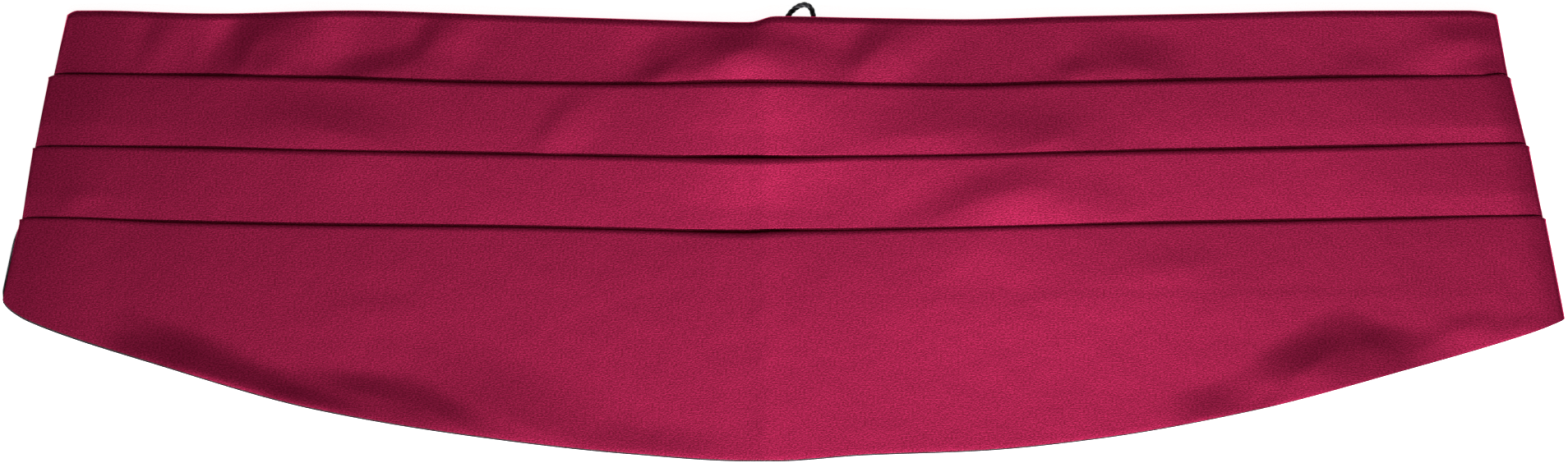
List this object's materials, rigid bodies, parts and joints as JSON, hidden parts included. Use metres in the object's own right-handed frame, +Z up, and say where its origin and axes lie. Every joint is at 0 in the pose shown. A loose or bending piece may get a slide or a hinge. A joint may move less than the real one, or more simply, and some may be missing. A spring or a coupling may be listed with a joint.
{
  "type": "pleated satin cummerbund",
  "caption": "Pleated satin cummerbund with a curved hem, black lining, top loop and a hooked elastic strap behind it, lying flat face up.",
  "frame": {"origin": "middle of the garment's outline, on the surface it lies on", "axes": "+X along the garment, to the right as it is seen face up with its top edge away from the viewer; +Y towards its top edge; +Z up off the surface, out of the satin face"},
  "size_m": [0.5289, 0.1558, 0.0076],
  "materials": {
    "satin": "burgundy polyester satin, soft sheen",
    "lining": "black plain-woven lining",
    "elastic": "black ribbed woven elastic",
    "clasp": "black enamelled steel",
    "cord": "black twisted cord"
  },
  "bodies": {
    "root": {"front_panel": "satin", "back_lining": "lining", "strap_left": "elastic", "strap_right": "elastic", "clasp_hook": "clasp", "clasp_eye": "clasp", "top_loop": "cord"}
  },
  "joints": []
}
